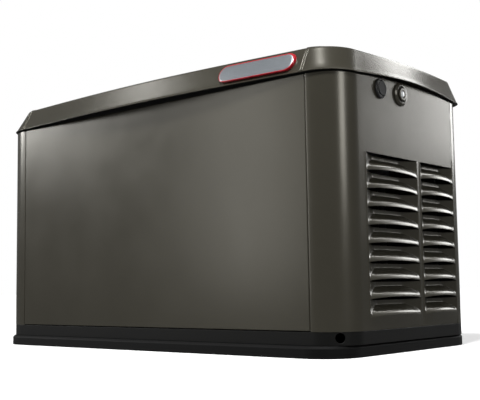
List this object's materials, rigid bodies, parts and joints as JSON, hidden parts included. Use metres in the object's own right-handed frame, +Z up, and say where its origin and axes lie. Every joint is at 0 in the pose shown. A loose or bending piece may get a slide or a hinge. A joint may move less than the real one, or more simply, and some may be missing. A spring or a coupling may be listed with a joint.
{
  "type": "home standby generator",
  "caption": "Rectangular outdoor standby generator in a louvred grey metal enclosure with a hinged lid, removable front panel, internal engine, alternator, battery and controls on a flat pad.",
  "frame": {"origin": "middle of the underside of the mounting pad, under the middle of the whole object", "axes": "+X along the enclosure towards the air intake end, +Y from the front panel to the rear panel, +Z up"},
  "size_m": [1.232, 0.6465, 0.732],
  "materials": {
    "powder_coat": "satin warm grey powder coat",
    "frame_coat": "satin dark grey coat",
    "pad_plastic": "matt black moulded",
    "black_steel": "satin black",
    "aluminised": "aluminised sheet, slightly heat-stained",
    "cast_aluminium": "as cast",
    "bright_steel": "ground",
    "copper_windings": "varnished windings",
    "brass": "machined",
    "rubber": "matt",
    "black_plastic": "fine grain",
    "silver_plate": "brushed silver film",
    "red_trim": "gloss red",
    "red_paint": "gloss red",
    "pale_lens": "translucent"
  },
  "bodies": {
    "enclosure": {"intake_end_panel": "powder_coat", "exhaust_end_panel": "powder_coat", "rear_panel": "powder_coat", "status_bezel": "powder_coat", "base_frame": "frame_coat", "mounting_pad": "pad_plastic", "hinge_bracket_left": "black_steel", "hinge_bracket_right": "black_steel", "lock_barrel_right": "black_steel", "lock_barrel_left": "black_steel", "engine_cradle": "black_steel", "rocker_cover_front": "black_steel", "rocker_cover_rear": "black_steel", "blower_housing": "black_steel", "alternator_stator": "black_steel", "starter_motor": "black_steel", "fuel_pipe": "black_steel", "exhaust_divider": "aluminised", "control_partition": "aluminised", "exhaust_pipe_front": "aluminised", "exhaust_pipe_rear": "aluminised", "muffler": "aluminised", "crankcase": "cast_aluminium", "cylinder_front": "cast_aluminium", "cylinder_rear": "cast_aluminium", "bearing_carrier": "cast_aluminium", "mixer_body": "cast_aluminium", "fuel_regulator": "cast_aluminium", "vibration_mount_1": "rubber", "vibration_mount_2": "rubber", "vibration_mount_3": "rubber", "vibration_mount_4": "rubber", "battery": "black_plastic", "conduit_gland": "black_plastic", "control_box": "black_plastic", "oil_filter": "red_paint", "status_lens": "pale_lens"},
    "lid": {"lid": "powder_coat", "lid_seal": "rubber", "badge_bezel": "red_trim", "badge_plate": "silver_plate", "hinge_leaf_left": "black_steel", "hinge_leaf_right": "black_steel"},
    "front_door": {"front_panel": "powder_coat"},
    "lock_core_right": {"lock_core_right": "bright_steel"},
    "lock_core_left": {"lock_core_left": "bright_steel"},
    "lock_cover_right": {"lock_cover_right": "rubber"},
    "lock_cover_left": {"lock_cover_left": "rubber"},
    "strut_barrel": {"strut_barrel": "black_steel"},
    "strut_rod": {"strut_rod": "bright_steel"},
    "crank_group": {"crankshaft": "bright_steel", "flywheel_fan": "cast_aluminium", "alternator_rotor": "copper_windings"},
    "throttle_plate": {"throttle_plate": "brass"},
    "air_cleaner": {"air_cleaner": "black_plastic"},
    "dipstick": {"dipstick": "red_trim"},
    "button_auto": {"button_auto": "black_plastic"},
    "button_off": {"button_off": "black_plastic"},
    "button_manual": {"button_manual": "black_plastic"},
    "breaker_toggle": {"breaker_toggle": "black_plastic"}
  },
  "joints": [
    {"name": "lid_hinge", "type": "hinge", "parent": "enclosure", "child": "lid", "pos_m": [0, 0.318, 0.63], "axis": [-1, 0, 0], "range_deg": [0, 65]},
    {"name": "front_panel_slide", "type": "slide", "parent": "enclosure", "child": "front_door", "axis": [0, -1, 0], "range_m": [0, 0.3]},
    {"name": "lock_turn_right", "type": "hinge", "parent": "enclosure", "child": "lock_core_right", "pos_m": [0.601, -0.1175, 0.6054], "axis": [1, 0, 0], "range_deg": [0, 90]},
    {"name": "lock_turn_left", "type": "hinge", "parent": "enclosure", "child": "lock_core_left", "pos_m": [-0.601, -0.1175, 0.6054], "axis": [-1, 0, 0], "range_deg": [0, 90]},
    {"name": "lock_cover_flip_right", "type": "hinge", "parent": "enclosure", "child": "lock_cover_right", "pos_m": [0.6074, -0.1175, 0.6224], "axis": [0, -1, 0], "range_deg": [0, 95]},
    {"name": "lock_cover_flip_left", "type": "hinge", "parent": "enclosure", "child": "lock_cover_left", "pos_m": [-0.6074, -0.1175, 0.6224], "axis": [0, 1, 0], "range_deg": [0, 95]},
    {"name": "strut_swing", "type": "hinge", "parent": "enclosure", "child": "strut_barrel", "pos_m": [0.548, 0.2355, 0.47], "axis": [1, 0, 0], "range_deg": [-31.5, 0]},
    {"name": "strut_extend", "type": "slide", "parent": "strut_barrel", "child": "strut_rod", "axis": [0, -0.4573, 0.8893], "range_m": [0, 0.128]},
    {"name": "crank_spin", "type": "hinge", "parent": "enclosure", "child": "crank_group", "pos_m": [0, 0.0205, 0.262], "axis": [1, 0, 0], "continuous": true},
    {"name": "throttle_turn", "type": "hinge", "parent": "enclosure", "child": "throttle_plate", "pos_m": [0.055, 0.0205, 0.455], "axis": [1, 0, 0], "range_deg": [0, 75]},
    {"name": "air_cleaner_lift", "type": "slide", "parent": "enclosure", "child": "air_cleaner", "axis": [0, 0, 1], "range_m": [0, 0.05]},
    {"name": "dipstick_pull", "type": "slide", "parent": "enclosure", "child": "dipstick", "axis": [0, 0, 1], "range_m": [0, 0.12]},
    {"name": "button_auto_press", "type": "slide", "parent": "enclosure", "child": "button_auto", "axis": [0, 0, -1], "range_m": [0, 0.0015], "stiffness_N_per_m": 300, "springref_m": -0.001},
    {"name": "button_off_press", "type": "slide", "parent": "enclosure", "child": "button_off", "axis": [0, 0, -1], "range_m": [0, 0.0015], "stiffness_N_per_m": 300, "springref_m": -0.001},
    {"name": "button_manual_press", "type": "slide", "parent": "enclosure", "child": "button_manual", "axis": [0, 0, -1], "range_m": [0, 0.0015], "stiffness_N_per_m": 300, "springref_m": -0.001},
    {"name": "breaker_flip", "type": "hinge", "parent": "enclosure", "child": "breaker_toggle", "pos_m": [0.495, -0.1945, 0.596], "axis": [1, 0, 0], "range_deg": [-56, 0]}
  ],
  "couplings": [
    {"joint": "strut_swing", "follows": "lid_hinge", "ratio": -0.482},
    {"joint": "strut_extend", "follows": "lid_hinge", "m_per_rad": 0.1117}
  ]
}
